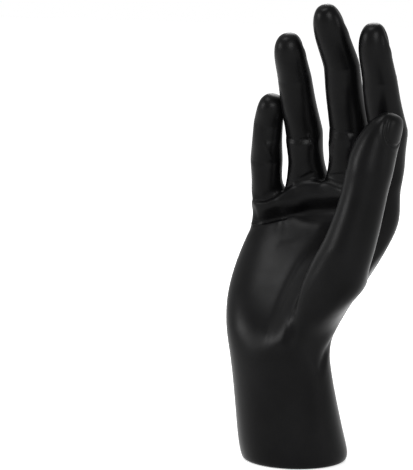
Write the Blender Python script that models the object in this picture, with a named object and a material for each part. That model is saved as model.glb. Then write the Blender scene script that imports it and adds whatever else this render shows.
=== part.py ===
"""Display hand for rings and bracelets: an open right hand that stands on its cut forearm.

+Z is up, the palm faces -Y and the thumb is at +X. The origin is the centre of the foot.
The whole hand is one casting. Its control cage has rings of points: the forearm and palm
are one tube of 20 columns, four fingers rise from the open end of that tube, and the thumb
rises from a patch left open at its radial side. Subdivision rounds the cage, and the pads,
hollows, tendons, creases and nails are then pressed into the rounded skin.

Sizes are in millimetres, and one constant turns them into Blender's metres.
"""

import math

import bmesh
import bpy
import numpy as np
from mathutils import Vector
from mathutils.bvhtree import BVHTree

MM = 0.001

# Foot and forearm
FOOT_HALF_WIDTH = 27.0
FOOT_HALF_DEPTH = 25.0
FOOT_EDGE_RADIUS = 3.4
FOREARM_HEIGHTS = (12.0, 28.0)
WRIST_HEIGHT = 50.0
WRIST_HALF_WIDTH = 25.4
WRIST_HALF_DEPTH = 18.4
WRIST_TO_RADIAL = -5.0
WRIST_TO_PALM = 6.0

# Palm
CARPAL_PITCH = 9.5
PALM_STATIONS = (
    # share of the way from wrist to knuckle, thickness in front of and behind the bones,
    # squareness to the bones, hollow in the middle, swell of the heel below the little finger
    # and of the ball of the thumb, spread of that ball over the palm, reach of the edges at the
    # little finger and the index finger
    (0.17, 22.0, 13.5, 0.45, 1.0, 5.0, 7.3, 4.4, (0.5, 0.2)),
    (0.45, 19.0, 12.5, 0.85, 4.0, 6.5, 6.5, 9.0, (0.46, 0.2)),
    (0.74, 15.0, 12.0, 1.0, 4.5, 3.5, 2.0, 8.0, (0.42, 0.34)),
    (1.0, 11.5, 11.5, 1.0, 2.5, 0.0, 0.0, 0.0, (0.32, 0.33)),
)
FINGER_BASE_STATIONS = (
    # distance below the web, thickness in front of and behind the bones, hollow, how much lower
    # the back lies, reach of the edges
    (11.5, 10.0, 11.0, 1.5, 0.0, (0.3, 0.31)),
    (3.5, 12.8, 10.3, 0.0, 3.5, (0.22, 0.29)),
)
WEB_REACH = (0.3, 0.32)
EDGE_ROUNDING = (0.56, 0.86, 0.98, 1.0, 1.0, 1.0, 0.98, 0.88, 0.58)
WEB_BACK_DROP = 5.0

# Fingers, from the little finger to the index finger
FINGERS = {
    "little": {
        "knuckle": (-28.4, 25.0, 108.0),
        "bones": (34.8, 18.6, 16.0),
        "lean_to_palm": (10.0, 12.0, 14.0),
        "lean_to_thumb": (3.6, 9.5, 20.0),
        "turn": 16.0,
        "width": 15.6,
        "web": 14.6,
    },
    "ring": {
        "knuckle": (-7.7, 30.1, 114.6),
        "bones": (42.2, 29.9, 24.6),
        "lean_to_palm": (12.0, 25.0, 25.0),
        "lean_to_thumb": (1.3, 2.6, 3.5),
        "turn": 6.0,
        "width": 17.9,
        "web": 16.7,
    },
    "middle": {
        "knuckle": (12.3, 30.7, 116.5),
        "bones": (43.3, 33.0, 34.5),
        "lean_to_palm": (11.0, 20.0, 31.0),
        "lean_to_thumb": (6.2, 2.4, -1.6),
        "turn": 0.0,
        "width": 19.0,
        "web": 16.6,
    },
    "index": {
        "knuckle": (33.8, 25.2, 114.0),
        "bones": (44.7, 26.8, 30.0),
        "lean_to_palm": (7.0, 20.0, 21.5),
        "lean_to_thumb": (6.6, -1.2, 2.5),
        "turn": -8.0,
        "width": 18.4,
        "web": 20.5,
    },
}
FINGER_STATIONS = (
    # bone, share of its length, width and depth as shares of the finger's width, shift to the palm
    (0, 0.62, 0.98, 0.98, 0.0),
    (0, 0.76, 0.96, 0.95, 0.01),
    (0, 0.91, 1.0, 0.95, 0.0),
    (1, 0.0, 1.02, 0.97, -0.02),
    (1, 0.14, 1.0, 0.93, -0.01),
    (1, 0.5, 0.94, 0.89, 0.02),
    (1, 0.86, 0.92, 0.84, 0.0),
    (2, 0.0, 0.92, 0.82, -0.02),
    (2, 0.16, 0.9, 0.77, 0.0),
    (2, 0.45, 0.87, 0.73, 0.045),
    (2, 0.72, 0.79, 0.65, 0.03),
    (2, 0.89, 0.58, 0.5, -0.02),
    (2, 0.97, 0.31, 0.26, -0.06),
)

# Thumb
THUMB_JOINTS = (
    (12.5, -13.0, 62.0),
    (34.9, -12.6, 106.8),
    (43.6, -9.9, 142.0),
    (53.6, -6.0, 171.0),
)
THUMB_NAIL_TURN = -8.0
THUMB_STATIONS = (
    # bone, share of its length, width, depth, slant of the ring along the bone, shift to the pad,
    # extra reach of the web side
    (0, 0.6, 25.0, 29.0, 10.0, -1.0, 3.0),
    (0, 0.85, 24.0, 26.5, 5.0, 0.0, -1.2),
    (1, 0.0, 23.5, 24.5, 1.5, 0.0, -0.8),
    (1, 0.3, 22.0, 23.0, 0.0, -0.5, 0.0),
    (1, 0.62, 20.5, 21.5, 0.0, -0.7, 0.0),
    (1, 0.88, 20.5, 21.0, 0.0, -0.2, 0.0),
    (2, 0.0, 21.5, 21.3, 0.0, 0.2, 0.0),
    (2, 0.18, 21.5, 21.5, 0.0, 1.1, 0.0),
    (2, 0.45, 20.5, 19.0, 0.0, 1.3, 0.0),
    (2, 0.72, 18.5, 15.0, 0.0, 0.7, 0.0),
    (2, 0.89, 14.0, 10.5, 0.0, -0.6, 0.0),
    (2, 0.97, 8.0, 5.5, 0.0, -1.0, 0.0),
)

# Lines along which the skin is rubbed smooth: the valley beside the ball of the thumb and its
# crest
EASED_LINES = (
    ((3, -19, 70), (4, -17, 76), (7, -9, 88), (12, -6, 98)),
    ((11, -23, 69), (15, -23, 74), (22, -24, 83), (31, -24.5, 96)),
)
EASED_REACHES = (10.0, 8.0, 6.0, 4.5)
EASED_TIMES = 14

# Folds, hollows and swellings, each drawn as it shows: (x, z), or (y, z) from the thumb's side
# or from the little finger's edge
STROKES = (
    # side of the hand, half-width, rise of the skin, path
    ("palm", 4.2, -1.8, ((-36, 115), (-28, 114.4), (-23, 114.8), (-17, 117.4), (-10, 118.6))),
    ("palm", 7.5, -1.1, ((-10, 117), (0, 117.6), (8, 118), (17, 117.4), (26, 116))),
    ("palm", 2.6, 1.2, ((-36, 119), (-23, 121), (-18, 123), (-9, 129), (-4, 130.5), (7, 132), (27, 128))),
    ("palm", 1.8, -0.9, ((-33, 123), (-25, 123), (-17, 127.5), (-6, 133), (3, 135), (10, 135), (27, 133))),
    ("palm", 1.4, -0.6, ((-36, 111), (-30, 111), (-24, 111), (-19, 113), (-12, 114), (-3, 113), (6, 113))),
    ("palm", 1.2, -0.4, ((-15, 101), (-8.6, 102.6), (-2.5, 105))),
    ("thumb", 1.6, -0.8, ((10, 62), (3, 58.4), (-4, 54.7), (-8.5, 50), (-12, 45))),
    ("thumb", 2.8, 0.6, ((6, 66), (0, 63), (-7, 59), (-13, 54))),
    ("edge", 1.8, -0.8, ((16, 122), (22, 124), (28, 125), (34, 126))),
    ("back", 2.6, 0.7, ((-5, 62), (-13, 84), (-26, 106))),
    ("back", 2.6, 0.8, ((-3, 62), (-5, 86), (-8, 112))),
    ("back", 2.6, 0.8, ((0, 62), (6, 86), (14, 114))),
    ("back", 2.6, 0.7, ((3, 62), (16, 86), (32, 111))),
)
SPOTS = (
    # side of the hand, radius, rise of the skin, place
    ("palm", 15.0, 0.6, (-24, 80)),
    ("palm", 4.5, 1.1, (-7.3, 121)),
    ("palm", 13.0, -1.0, (-2, 104)),
    ("back", 9.0, 2.2, (-24, 45)),
    ("back", 5.0, -1.0, (-17, 114)),
    ("back", 5.0, -1.2, (4, 118)),
    ("back", 5.0, -1.2, (24, 118)),
)
STROKE_STEP = 2.0
FAR_OUT = 200.0
SIDES = {
    # the way each side of the hand faces
    "palm": (0, -1, 0),
    "back": (0, 1, 0),
    "thumb": (1, 0, 0),
    "edge": (-1, 0, 0),
}
KNUCKLE_RADIUS = 7.0
KNUCKLE_RISE = 1.5
CREASE_HALF_WIDTH = 1.5
CREASE_DEPTH = 0.35
CREASE_REACH = 14.0
BACK_SWELL = 0.5
PAD_SWELL = 0.5
NAIL_PLACE = 0.66
NAIL_HALF_LENGTH = 0.25
NAIL_HALF_WIDTH = 0.36
NAIL_RISE = 0.3
NAIL_GROOVE = 0.45
FINE_LEVEL = 3
KEPT_SHARE = 0.117

# Cage layout
COLUMNS = 9
RING_SIDES = 8
CAGE_SHRINK = (4 + 2 * math.cos(2 * math.pi / RING_SIDES)) / 6
UP = Vector((0, 0, 1))
HEEL_WAY = Vector((-1, -0.25, 0)).normalized()
HEEL_SHARES = ((0, 1.0), (1, 0.5), (-1, 1.0), (-2, 0.4))
BALL_SHARES = ((4, 0.1), (5, 0.4), (6, 0.8), (7, 1.0), (8, 0.9))
SPREAD_SHARES = ((5, 0.5), (6, 0.8), (7, 1.0), (8, 0.7))


def finger_joints(finger):
    """Knuckle, middle joint, end joint and tip of a finger."""
    points = [Vector(finger["knuckle"])]
    for length, to_palm, to_thumb in zip(
        finger["bones"], finger["lean_to_palm"], finger["lean_to_thumb"]
    ):
        way = Vector(
            (math.tan(math.radians(to_thumb)), -math.tan(math.radians(to_palm)), 1)
        )
        points.append(points[-1] + way.normalized() * length)
    return points


def along(joints, bone, share):
    """A point on the digit's line of bones, with the digit's direction there."""
    start, end = joints[bone], joints[bone + 1]
    here = (end - start).normalized()
    other = here
    if share < 0.25 and bone > 0:
        other = (start - joints[bone - 1]).normalized()
    elif share > 0.75 and bone + 2 < len(joints):
        other = (joints[bone + 2] - end).normalized()
    reach = min(share, 1 - share)
    weight = 0.5 * max(0.0, 1 - reach / 0.25)
    return start.lerp(end, share), here.lerp(other, weight).normalized()


def ring_of(centre, way, front, half_width, half_depth):
    """Eight cage points round a digit, from its front left corner by way of its right side."""
    front = (front - way * front.dot(way)).normalized()
    right = way.cross(front)
    points = []
    for k in range(RING_SIDES):
        angle = math.radians(-135 + k * 360 / RING_SIDES)
        side = right * math.cos(angle) * half_width
        points.append(centre + side - front * math.sin(angle) * half_depth)
    return points


class Cage:
    """The control cage under construction."""

    def __init__(self):
        self.mesh = bmesh.new()

    def ring(self, points):
        return [self.mesh.verts.new(p * MM) for p in points]

    def bridge(self, lower, upper, open_sides=()):
        """Quads between two rings of equal count, but for the sides that are left open."""
        count = len(lower)
        for k in range(count):
            if k in open_sides:
                continue
            n = (k + 1) % count
            self.mesh.faces.new((lower[k], lower[n], upper[n], upper[k]))

    def cap(self, ring):
        self.mesh.faces.new(ring)


def oval(centre, half_width, half_depth):
    """The 20 points of a level forearm section, in the palm's column order."""
    count = 2 * COLUMNS + 2
    points = []
    for k in range(count):
        angle = math.pi + (k + 1) * 2 * math.pi / count
        points.append(
            centre
            + Vector((math.cos(angle) * half_width, math.sin(angle) * half_depth, 0))
        )
    return points


def forearm_rings(cage):
    """The foot, with its rounded edge, and the forearm up to the wrist."""
    foot = [(0.55, 0.0), (0.84, 0.0), (0.955, 0.0), (1.0, FOOT_EDGE_RADIUS)]
    rings = []
    for share, height in foot:
        rings.append(
            cage.ring(
                oval(UP * height, FOOT_HALF_WIDTH * share, FOOT_HALF_DEPTH * share)
            )
        )
    for height in FOREARM_HEIGHTS + (WRIST_HEIGHT,):
        share = height / WRIST_HEIGHT
        ease = share * share * (3 - 2 * share)
        centre = Vector((WRIST_TO_RADIAL * share, -WRIST_TO_PALM * share, height))
        half_width = FOOT_HALF_WIDTH + (WRIST_HALF_WIDTH - FOOT_HALF_WIDTH) * ease
        half_depth = FOOT_HALF_DEPTH + (WRIST_HALF_DEPTH - FOOT_HALF_DEPTH) * ease
        rings.append(cage.ring(oval(centre, half_width, half_depth)))
    return rings


def column_centres(rays, reach):
    """Nine columns across the hand from its four finger rays: edges, rays and the gaps between."""
    little, ring, middle, index = rays
    return [
        little + (little - ring) * reach[0],
        little,
        little.lerp(ring, 0.5),
        ring,
        ring.lerp(middle, 0.5),
        middle,
        middle.lerp(index, 0.5),
        index,
        index + (index - middle) * reach[1],
    ]


def palm_section(centres, ways, square, front, back, hollow=0.0, drop=0.0):
    """The 20 points of a palm section round nine column centres; its back may lie lower."""
    across = (centres[-1] - centres[0]).normalized()
    fronts = []
    backs = []
    for k, centre in enumerate(centres):
        way = ways[min(k // 2, 3)]
        normal = across.cross(way).normalized()
        normal = Vector((0, -1, 0)).lerp(normal, square).normalized()
        dip = hollow * max(0.0, 1 - abs(k - 4) / 3)
        fronts.append(centre + normal * (front * EDGE_ROUNDING[k] - dip))
        backs.append(centre - normal * back * EDGE_ROUNDING[k] - UP * drop)
    radial_side = centres[-1] + across * 3.0
    ulnar_side = centres[0] - across * 3.0
    return fronts + [radial_side] + backs[::-1] + [ulnar_side]


def palm_rings(cage, fingers):
    """The palm from the wrist to the finger creases."""
    wrist = Vector((WRIST_TO_RADIAL, -WRIST_TO_PALM, WRIST_HEIGHT))
    joints = [finger_joints(f) for f in fingers]
    starts = [wrist + Vector(((k - 1.5) * CARPAL_PITCH, 0, 0)) for k in range(4)]
    metacarpals = [(j[0] - s).normalized() for j, s in zip(joints, starts)]
    fingerways = [(j[1] - j[0]).normalized() for j in joints]
    bends = [(m + w).normalized() for m, w in zip(metacarpals, fingerways)]
    rings = []
    for share, front, back, square, hollow, heel, ball, spread, reach in PALM_STATIONS:
        rays = [s.lerp(j[0], share) for s, j in zip(starts, joints)]
        ways = bends if share == 1.0 else metacarpals
        section = palm_section(
            column_centres(rays, reach), ways, square, front, back, hollow
        )
        for k, part in HEEL_SHARES:
            section[k] = section[k] + HEEL_WAY * heel * part
        for k, part in BALL_SHARES:
            section[k] = section[k] + Vector((0, -ball * part, 0))
        for k, part in SPREAD_SHARES:
            section[k] = section[k] + Vector((-spread * part, 0, 0))
        rings.append(cage.ring(section))
    for below_web, front, back, hollow, drop, reach in FINGER_BASE_STATIONS:
        pads = [
            j[0] + w * (f["web"] - below_web)
            for j, w, f in zip(joints, fingerways, fingers)
        ]
        section = palm_section(
            column_centres(pads, reach), fingerways, 1.0, front, back, hollow, drop
        )
        rings.append(cage.ring(section))
    creases = [j[0] + w * f["web"] for j, w, f in zip(joints, fingerways, fingers)]
    half = sum(f["width"] for f in fingers) / 8
    section = palm_section(
        column_centres(creases, WEB_REACH), fingerways, 1.0, half, half, 0.0, WEB_BACK_DROP
    )
    rings.append(cage.ring(section))
    return rings


def finger_rings(cage, finger, base):
    """A finger from its base ring in the palm to its closed tip."""
    joints = finger_joints(finger)
    turn = math.radians(finger["turn"])
    front = Vector((math.sin(turn), -math.cos(turn), 0))
    lower = base
    for bone, share, width, depth, shift in FINGER_STATIONS:
        centre, way = along(joints, bone, share)
        size = finger["width"] / CAGE_SHRINK
        centre = centre + front * shift * finger["width"]
        upper = cage.ring(
            ring_of(centre, way, front, width * size / 2, depth * size / 2)
        )
        cage.bridge(lower, upper)
        lower = upper
    cage.cap(lower)


def thumb_rings(cage, base):
    """The thumb from the patch left open in the palm to its closed tip, with its nail at +X."""
    joints = [Vector(p) for p in THUMB_JOINTS]
    turn = math.radians(THUMB_NAIL_TURN)
    nail = Vector((math.cos(turn), math.sin(turn), 0))
    lower = base
    for bone, share, width, depth, slant, shift, reach in THUMB_STATIONS:
        centre, way = along(joints, bone, share)
        back = (nail - way * nail.dot(way)).normalized()
        web = way.cross(back)
        points = []
        for k in range(RING_SIDES):
            angle = math.radians(-90 + k * 360 / RING_SIDES)
            out = web * math.sin(angle) * width / 2 / CAGE_SHRINK
            out = out + web * max(0, math.sin(angle)) * reach
            side = back * math.cos(angle) * depth / 2 / CAGE_SHRINK
            tilt = way * slant * math.sin(angle)
            points.append(centre + out + side + tilt - back * shift)
        upper = cage.ring(points)
        cage.bridge(lower, upper)
        lower = upper
    cage.cap(lower)


def hand_cage():
    """The whole cage, closed."""
    cage = Cage()
    fingers = list(FINGERS.values())
    rings = forearm_rings(cage) + palm_rings(cage, fingers)
    first_palm = len(rings) - len(PALM_STATIONS) - len(FINGER_BASE_STATIONS) - 1
    cage.cap(rings[0])
    a, b, c = COLUMNS - 2, COLUMNS - 1, COLUMNS
    for k in range(len(rings) - 1):
        is_thumb = k in (first_palm, first_palm + 1)
        cage.bridge(rings[k], rings[k + 1], (a, b) if is_thumb else ())
    low, mid, high = rings[first_palm : first_palm + 3]
    thumb_base = [low[b], low[c], mid[c], high[c], high[b], high[a], mid[a], low[a]]
    cage.mesh.verts.remove(mid[b])
    thumb_rings(cage, thumb_base)
    top = rings[-1]
    last = 2 * COLUMNS
    webs = [top[-1]]
    for k in range(1, 4):
        front = top[2 * k].co
        back = top[last - 2 * k].co
        webs.append(cage.mesh.verts.new(front.lerp(back, 0.5)))
    webs.append(top[COLUMNS])
    for k, finger in enumerate(fingers):
        a = 2 * k
        base = [top[a], top[a + 1], top[a + 2], webs[k + 1]]
        base += [top[last - a - 2], top[last - a - 1], top[last - a], webs[k]]
        finger_rings(cage, finger, base)
    bmesh.ops.recalc_face_normals(cage.mesh, faces=cage.mesh.faces[:])
    return cage.mesh


def rounded(cage):
    """The cage's limit surface as a fine mesh."""
    rough = bpy.data.meshes.new("cage")
    cage.to_mesh(rough)
    cage.free()
    holder = bpy.data.objects.new("cage", rough)
    bpy.context.scene.collection.objects.link(holder)
    rounding = holder.modifiers.new("rounding", "SUBSURF")
    rounding.levels = FINE_LEVEL
    rounding.render_levels = FINE_LEVEL
    graph = bpy.context.evaluated_depsgraph_get()
    fine = bpy.data.meshes.new_from_object(holder.evaluated_get(graph))
    bpy.data.objects.remove(holder)
    return fine


def rub_smooth(mesh):
    """Smooths the skin along the eased lines, as a thumb rubs clay."""
    spots = [
        Vector(start).lerp(Vector(end), k / 5)
        for line in EASED_LINES
        for start, end in zip(line, line[1:])
        for k in range(6)
    ]
    work = bmesh.new()
    work.from_mesh(mesh)
    for reach in EASED_REACHES:
        near = [
            v for v in work.verts
            if min((v.co / MM - spot).length for spot in spots) < reach
        ]
        for _ in range(EASED_TIMES):
            bmesh.ops.smooth_vert(
                work, verts=near, factor=0.5, use_axis_x=True, use_axis_y=True, use_axis_z=True
            )
    work.to_mesh(mesh)
    work.free()


class Skin:
    """The fine mesh, with soft strokes that raise or lower it along its normals."""

    def __init__(self, mesh):
        self.mesh = mesh
        count = len(mesh.vertices)
        flat = np.empty(count * 3)
        mesh.vertices.foreach_get("co", flat)
        self.points = flat.reshape(count, 3) / MM
        flat = np.empty(count * 3)
        mesh.vertices.foreach_get("normal", flat)
        self.normals = flat.reshape(count, 3)
        self.rise = np.zeros(count)
        faces = [tuple(f.vertices) for f in mesh.polygons]
        self.tree = BVHTree.FromPolygons([Vector(p) for p in self.points], faces)

    def cast(self, side, across, z):
        """The point that shows at that height, and at that x, or y where seen from an edge."""
        out = Vector(SIDES[side])
        start = Vector((0, across, z)) if out.x else Vector((across, 0, z))
        return self.tree.ray_cast(start + out * FAR_OUT, -out)[0]

    def facing(self, way, least=-0.1, most=0.4):
        """1 where the skin faces that way, fading to 0 where it turns from it."""
        return np.clip((self.normals @ np.array(way) - least) / (most - least), 0, 1)

    def spot(self, centre, radius, rise, way):
        apart = np.linalg.norm(self.points - np.array(centre), axis=1)
        self.rise += rise * np.exp(-((apart / radius) ** 2)) * self.facing(way)

    def stroke(self, path, half_width, rise, way):
        """A soft line through the path's points that fades out at both ends."""
        best = np.full(len(self.points), 1e9)
        place = np.zeros(len(self.points))
        for k in range(len(path) - 1):
            start, end = np.array(path[k]), np.array(path[k + 1])
            run = end - start
            share = np.clip((self.points - start) @ run / (run @ run), 0, 1)
            apart = np.linalg.norm(self.points - start - share[:, None] * run, axis=1)
            near = apart < best
            best[near] = apart[near]
            place[near] = (k + share[near]) / (len(path) - 1)
        fade = np.clip(np.minimum(place, 1 - place) / 0.2, 0, 1)
        fade = fade * fade * (3 - 2 * fade)
        line = np.exp(-((best / half_width) ** 2)) * fade
        self.rise += rise * line * self.facing(way, 0.05, 0.6)

    def draw(self, side, half_width, rise, path):
        """A stroke whose path is given as it shows on that side."""
        places = []
        for (x0, z0), (x1, z1) in zip(path, path[1:]):
            steps = max(1, round(math.hypot(x1 - x0, z1 - z0) / STROKE_STEP))
            for k in range(steps):
                share = k / steps
                places.append((x0 + (x1 - x0) * share, z0 + (z1 - z0) * share))
        places.append(path[-1])
        hits = [self.cast(side, x, z) for x, z in places]
        self.stroke([h for h in hits if h is not None], half_width, rise, SIDES[side])

    def across(self, centre, along_way, front, half_width, rise):
        """A fold across one side of a digit, at right angles to its length."""
        offset = self.points - np.array(centre)
        reach = offset @ np.array(along_way)
        apart = np.linalg.norm(offset, axis=1)
        near = np.exp(-((reach / half_width) ** 2)) * (apart < CREASE_REACH)
        self.rise += rise * near * self.facing(front, 0.15, 0.85)

    def nail(self, centre, along_way, out, half_length, half_width):
        """An oval plate, raised a little, with a groove round its root and sides."""
        out = (out - along_way * out.dot(along_way)).normalized()
        side = along_way.cross(out)
        offset = self.points - np.array(centre)
        a = offset @ np.array(along_way) / half_length
        b = offset @ np.array(side) / half_width
        apart = np.minimum((np.abs(a) ** 2.6 + np.abs(b) ** 2.6) ** (1 / 2.6), 3)
        plate = 1 / (1 + np.exp((apart - 1) / 0.05))
        groove = np.exp(-(((apart - 1.12) / 0.13) ** 2)) * np.clip(1.2 - a, 0, 1)
        near = np.linalg.norm(offset, axis=1) < 3 * half_length
        lift = NAIL_RISE * plate - NAIL_GROOVE * groove
        self.rise += lift * near * self.facing(out)

    def apply(self):
        moved = self.points + self.normals * self.rise[:, None]
        moved[:, 2] = np.maximum(moved[:, 2], 0)
        self.mesh.vertices.foreach_set("co", (moved * MM).ravel())
        self.mesh.update()


def detail_digit(skin, joints, front, width, first_joint):
    """Creases and pads on a digit's palm side, knuckle swellings and the nail on its back."""
    front = Vector(front)
    for k in range(first_joint, 3):
        centre, way = along(joints, k, 0.0)
        skin.across(centre, way, front, CREASE_HALF_WIDTH, -CREASE_DEPTH)
        skin.spot(centre - front * width / 2, width * 0.35, BACK_SWELL, -front)
    for k in range(first_joint, 3):
        centre, way = along(joints, k, 0.45)
        skin.spot(centre + front * width / 2, width * 0.45, PAD_SWELL, front)
    centre, way = along(joints, 2, NAIL_PLACE)
    length = (joints[3] - joints[2]).length
    skin.nail(centre, way, -front, length * NAIL_HALF_LENGTH, width * NAIL_HALF_WIDTH)


def detail(skin):
    for side, half_width, rise, path in STROKES:
        skin.draw(side, half_width, rise, path)
    for side, radius, rise, place in SPOTS:
        skin.spot(skin.cast(side, *place), radius, rise, SIDES[side])
    for finger in FINGERS.values():
        joints = finger_joints(finger)
        turn = math.radians(finger["turn"])
        front = (math.sin(turn), -math.cos(turn), 0)
        knuckle = skin.cast("back", joints[0].x, joints[0].z)
        skin.spot(knuckle, KNUCKLE_RADIUS, KNUCKLE_RISE, (0, 1, 0))
        detail_digit(skin, joints, front, finger["width"], 1)
    joints = [Vector(p) for p in THUMB_JOINTS]
    turn = math.radians(THUMB_NAIL_TURN)
    front = (-math.cos(turn), -math.sin(turn), 0)
    detail_digit(skin, joints, front, THUMB_STATIONS[6][2], 2)
    skin.apply()


def build():
    for obj in list(bpy.data.objects):
        bpy.data.objects.remove(obj)
    fine = rounded(hand_cage())
    rub_smooth(fine)
    fine.name = "display_hand"
    for face in fine.polygons:
        face.use_smooth = True
    detail(Skin(fine))
    hand = bpy.data.objects.new("display_hand", fine)
    bpy.context.scene.collection.objects.link(hand)
    thinning = hand.modifiers.new("thinning", "DECIMATE")
    thinning.ratio = KEPT_SHARE
    plastic = bpy.data.materials.new("satin_black_resin")
    plastic.use_nodes = True
    shader = plastic.node_tree.nodes["Principled BSDF"]
    shader.inputs["Base Color"].default_value = (0.012, 0.012, 0.013, 1)
    shader.inputs["Roughness"].default_value = 0.42
    fine.materials.append(plastic)


build()
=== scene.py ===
# %% [markdown]
# # A black display hand for rings and bracelets
# The real object is one casting in satin black resin: an open right hand that stands on its
# cut forearm. Nothing is screwed or glued to it, so the whole scene has one piece, a floor,
# five lamps and a camera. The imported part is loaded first, because it fixes the frame: +Z is
# up, the palm faces -Y, the thumb is at +X, and the foot's centre is the origin.

# %% Load the frame
import math

import bmesh
import bpy
import numpy as np
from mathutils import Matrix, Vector
from mathutils.bvhtree import BVHTree


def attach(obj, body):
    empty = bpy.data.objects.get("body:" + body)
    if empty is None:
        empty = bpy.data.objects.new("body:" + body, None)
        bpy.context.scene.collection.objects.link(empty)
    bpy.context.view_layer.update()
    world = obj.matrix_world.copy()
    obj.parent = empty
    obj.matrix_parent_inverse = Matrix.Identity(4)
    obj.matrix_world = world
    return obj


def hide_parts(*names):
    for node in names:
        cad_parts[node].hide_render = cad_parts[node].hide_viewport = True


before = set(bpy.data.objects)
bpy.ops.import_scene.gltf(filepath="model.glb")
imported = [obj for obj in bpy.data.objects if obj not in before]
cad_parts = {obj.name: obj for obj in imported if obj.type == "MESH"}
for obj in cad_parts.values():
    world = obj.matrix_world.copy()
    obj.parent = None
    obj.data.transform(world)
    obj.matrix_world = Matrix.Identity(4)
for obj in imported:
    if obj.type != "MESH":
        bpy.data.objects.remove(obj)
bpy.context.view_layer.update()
MM = 0.001
UP = Vector((0, 0, 1))

# %% [markdown]
# ## The bones
# A sculptor who makes a display hand starts from a wire for each finger, bent at the joints.
# The same is done here: each finger is a knuckle point, three bone lengths, and how far each
# bone leans to the palm and to the thumb, in degrees. A few numbers then move a whole finger,
# and the skin follows. The leans are read from the photograph, finger by finger.

# %% The fingers' measures, in millimetres and degrees
FINGERS = {
    "little": {
        "knuckle": (-28.4, 25.0, 108.0),
        "bones": (34.8, 18.6, 16.0),
        "lean_to_palm": (10.0, 12.0, 14.0),
        "lean_to_thumb": (3.6, 9.5, 20.0),
        "turn": 16.0,
        "width": 15.6,
        "web": 14.6,
    },
    "ring": {
        "knuckle": (-7.7, 30.1, 114.6),
        "bones": (42.2, 29.9, 24.6),
        "lean_to_palm": (12.0, 25.0, 25.0),
        "lean_to_thumb": (1.3, 2.6, 3.5),
        "turn": 6.0,
        "width": 17.9,
        "web": 16.7,
    },
    "middle": {
        "knuckle": (12.3, 30.7, 116.5),
        "bones": (43.3, 33.0, 34.5),
        "lean_to_palm": (11.0, 20.0, 31.0),
        "lean_to_thumb": (6.2, 2.4, -1.6),
        "turn": 0.0,
        "width": 19.0,
        "web": 16.6,
    },
    "index": {
        "knuckle": (33.8, 25.2, 114.0),
        "bones": (44.7, 26.8, 30.0),
        "lean_to_palm": (7.0, 20.0, 21.5),
        "lean_to_thumb": (6.6, -1.2, 2.5),
        "turn": -8.0,
        "width": 18.4,
        "web": 20.5,
    },
}
THUMB_JOINTS = [
    Vector((12.5, -13.0, 62.0)),
    Vector((34.9, -12.6, 106.8)),
    Vector((43.6, -9.9, 142.0)),
    Vector((53.6, -6.0, 171.0)),
]
THUMB_NAIL_TURN = -8.0
THUMB_WIDTH = 21.5


def finger_joints(finger):
    """Knuckle, middle joint, end joint and tip."""
    points = [Vector(finger["knuckle"])]
    for length, to_palm, to_thumb in zip(
        finger["bones"], finger["lean_to_palm"], finger["lean_to_thumb"]
    ):
        way = Vector(
            (math.tan(math.radians(to_thumb)), -math.tan(math.radians(to_palm)), 1)
        )
        points.append(points[-1] + way.normalized() * length)
    return points


def palm_way(finger):
    """The level direction that a finger's pad faces."""
    turn = math.radians(finger["turn"])
    return Vector((math.sin(turn), -math.cos(turn), 0))


for name, finger in FINGERS.items():
    tip = finger_joints(finger)[3]
    print(name, "tip at", [round(v, 1) for v in tip], "mm")

# %% [markdown]
# ## Growing the cage
# A hand is a soft shape with few hard edges, so it is modelled as a coarse cage of quads and
# rounded by subdivision afterwards. A modeller grows such a cage with one move, over and
# over: extrude the end face, then place its corners. Four helpers do that here. They find
# corners and faces by their place, so that the order of points in the mesh doesn't matter.

# %% Helpers for growing a cage
def edit_alone(piece):
    """Edit mode on this piece, with nothing selected."""
    if bpy.context.object and bpy.context.object.mode != "OBJECT":
        bpy.ops.object.mode_set(mode="OBJECT")
    bpy.ops.object.select_all(action="DESELECT")
    piece.select_set(True)
    bpy.context.view_layer.objects.active = piece
    bpy.ops.object.mode_set(mode="EDIT")
    bpy.ops.mesh.select_mode(type="VERT")
    bpy.ops.mesh.select_all(action="DESELECT")


def pick_corners(piece, places):
    """Selects the corners nearest to these places, in millimetres."""
    bpy.ops.mesh.select_all(action="DESELECT")
    mesh = bmesh.from_edit_mesh(piece.data)
    for place in places:
        spot = place * MM
        corner = min(mesh.verts, key=lambda v: (v.co - spot).length_squared)
        corner.select_set(True)
    mesh.select_flush_mode()
    bmesh.update_edit_mesh(piece.data)


def pick_faces(piece, places):
    """Selects the faces whose middles are nearest to these places."""
    bpy.ops.mesh.select_all(action="DESELECT")
    mesh = bmesh.from_edit_mesh(piece.data)
    for place in places:
        spot = place * MM
        face = min(
            mesh.faces, key=lambda f: (f.calc_center_median() - spot).length_squared
        )
        face.select_set(True)
    bmesh.update_edit_mesh(piece.data)


def place_corners(piece, old, new):
    """Moves the selected corners that are at the old places to the new ones."""
    mesh = bmesh.from_edit_mesh(piece.data)
    chosen = [v for v in mesh.verts if v.select]
    moves = []
    for before, after in zip(old, new):
        spot = before * MM
        corner = min(chosen, key=lambda v: (v.co - spot).length_squared)
        moves.append((corner, after * MM))
    for corner, after in moves:
        corner.co = after
    bmesh.update_edit_mesh(piece.data)


def grow(piece, old, new):
    """Extrudes the selected face from the old ring of places to the new one."""
    bpy.ops.mesh.extrude_region_move()
    place_corners(piece, old, new)
    return new


print("helpers ready")

# %% [markdown]
# ## Foot and forearm
# The real casting was cut square through the forearm, and the cut's edge was rounded. So the
# cage starts as a 20-sided cylinder, the height of the lowest band. Its lower face is
# extruded down to the floor and inset twice: the insets keep the foot flat when the cage is
# rounded. Its upper face then climbs to the wrist, which is narrower and leans to the thumb.

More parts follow.
